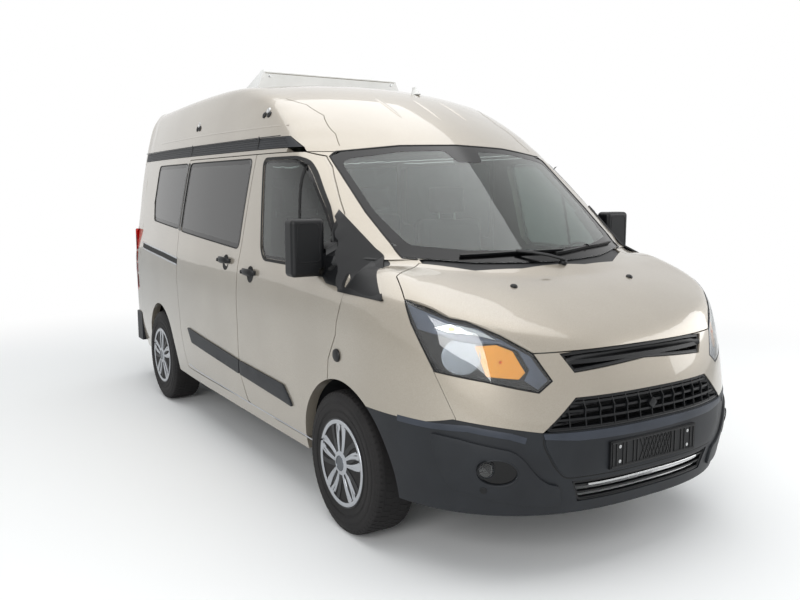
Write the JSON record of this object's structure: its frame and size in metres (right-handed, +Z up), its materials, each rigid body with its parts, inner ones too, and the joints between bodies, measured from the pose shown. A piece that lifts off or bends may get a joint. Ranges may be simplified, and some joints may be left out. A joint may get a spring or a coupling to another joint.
{
  "type": "windowed high-roof panel van",
  "caption": "Windowed high-roof panel van with opening front doors, bonnet and rear doors, steered front wheels and rolling wheels.",
  "frame": {"origin": "on the ground, under the middle of the van's length and width", "axes": "+Z up, the front faces -Y, the van's right side is -X"},
  "size_m": [2.224, 4.973, 2.388],
  "materials": {
    "black_plastic": "fine-grained",
    "body_paint": "metallic champagne paint, glossy",
    "cabin_plastic": "fine-grained",
    "cast_metal": "as cast",
    "clear_glass": "clear",
    "dark_steel": "underbody coating",
    "grey_plastic": "fine-grained",
    "red_lens": "moulded lens",
    "rubber": "matt",
    "seat_cloth": "woven",
    "silver_paint": "silver wheel paint",
    "tinted_glass": "tinted",
    "tyre_rubber": "matt",
    "white_plastic": "painted plastic"
  },
  "bodies": {
    "van_body": {"arch_liners": "black_plastic", "body_sides": "body_paint", "cowl_panel": "black_plastic", "dashboard": "cabin_plastic", "engine_block": "cast_metal", "fenders": "body_paint", "floor_pan": "dark_steel", "front_bumper": "grey_plastic", "front_seats": "seat_cloth", "front_subframe": "dark_steel", "fuel_tank": "black_plastic", "grilles": "black_plastic", "headlamp_bowls": "grey_plastic", "headlamp_lenses": "clear_glass", "mud_flaps": "rubber", "nose_panel": "body_paint", "plate_holder": "black_plastic", "radiator": "dark_steel", "rear_axle": "dark_steel", "rear_bumper": "grey_plastic", "rear_corners": "body_paint", "rear_seats": "seat_cloth", "roof": "body_paint", "roof_box": "white_plastic", "roof_side_strips": "grey_plastic", "sail_trims": "black_plastic", "side_glass": "tinted_glass", "side_panel_left": "body_paint", "sliding_door_right": "body_paint", "tail_lamps": "red_lens", "windscreen": "clear_glass", "windscreen_pillars": "body_paint"},
    "front_door_right": {"front_door_right": "body_paint", "front_door_glass_right": "tinted_glass", "mirror_right": "black_plastic"},
    "front_door_left": {"front_door_left": "body_paint", "front_door_glass_left": "tinted_glass", "mirror_left": "black_plastic"},
    "rear_door_right": {"rear_door_right": "body_paint", "rear_door_glass_right": "tinted_glass"},
    "rear_door_left": {"rear_door_left": "body_paint", "rear_door_glass_left": "tinted_glass"},
    "bonnet": {"bonnet": "body_paint"},
    "steering_wheel": {"steering_wheel": "cabin_plastic"},
    "knuckle_right": {"knuckle_right": "cast_metal"},
    "knuckle_left": {"knuckle_left": "cast_metal"},
    "front_wheel_right": {"tyre_front_right": "tyre_rubber", "rim_front_right": "silver_paint"},
    "front_wheel_left": {"tyre_front_left": "tyre_rubber", "rim_front_left": "silver_paint"},
    "rear_wheel_right": {"tyre_rear_right": "tyre_rubber", "rim_rear_right": "silver_paint"},
    "rear_wheel_left": {"tyre_rear_left": "tyre_rubber", "rim_rear_left": "silver_paint"}
  },
  "joints": [
    {"name": "steering_right", "type": "hinge", "parent": "van_body", "child": "knuckle_right", "pos_m": [-0.79, -1.4775, 0.338], "axis": [0, 0, 1], "range_deg": [-35, 35]},
    {"name": "steering_left", "type": "hinge", "parent": "van_body", "child": "knuckle_left", "pos_m": [0.79, -1.4775, 0.338], "axis": [0, 0, 1], "range_deg": [-35, 35]},
    {"name": "front_wheel_spin_right", "type": "hinge", "parent": "knuckle_right", "child": "front_wheel_right", "pos_m": [-0.862, -1.4775, 0.338], "axis": [-1, 0, 0], "continuous": true},
    {"name": "front_wheel_spin_left", "type": "hinge", "parent": "knuckle_left", "child": "front_wheel_left", "pos_m": [0.862, -1.4775, 0.338], "axis": [-1, 0, 0], "continuous": true},
    {"name": "rear_wheel_spin_right", "type": "hinge", "parent": "van_body", "child": "rear_wheel_right", "pos_m": [-0.848, 1.4555, 0.338], "axis": [-1, 0, 0], "continuous": true},
    {"name": "rear_wheel_spin_left", "type": "hinge", "parent": "van_body", "child": "rear_wheel_left", "pos_m": [0.848, 1.4555, 0.338], "axis": [-1, 0, 0], "continuous": true},
    {"name": "front_door_hinge_right", "type": "hinge", "parent": "van_body", "child": "front_door_right", "pos_m": [-0.98, -1.514, 0.9], "axis": [0, 0, 1], "range_deg": [0, 70]},
    {"name": "front_door_hinge_left", "type": "hinge", "parent": "van_body", "child": "front_door_left", "pos_m": [0.98, -1.514, 0.9], "axis": [0, 0, -1], "range_deg": [0, 70]},
    {"name": "rear_door_hinge_right", "type": "hinge", "parent": "van_body", "child": "rear_door_right", "pos_m": [-0.776, 2.442, 0.9], "axis": [0, 0, 1], "range_deg": [0, 180]},
    {"name": "rear_door_hinge_left", "type": "hinge", "parent": "van_body", "child": "rear_door_left", "pos_m": [0.776, 2.442, 0.9], "axis": [0, 0, -1], "range_deg": [0, 180]},
    {"name": "bonnet_hinge", "type": "hinge", "parent": "van_body", "child": "bonnet", "pos_m": [0, -1.69, 1.262], "axis": [-1, 0, 0], "range_deg": [0, 50]},
    {"name": "steering_wheel_turn", "type": "hinge", "parent": "van_body", "child": "steering_wheel", "pos_m": [0.4, -1.13, 1.09], "axis": [0, 0.8829, 0.4695], "range_deg": [-560, 560]}
  ],
  "couplings": [
    {"joint": "steering_left", "follows": "steering_right", "ratio": 1},
    {"joint": "steering_wheel_turn", "follows": "steering_right", "ratio": 16}
  ]
}
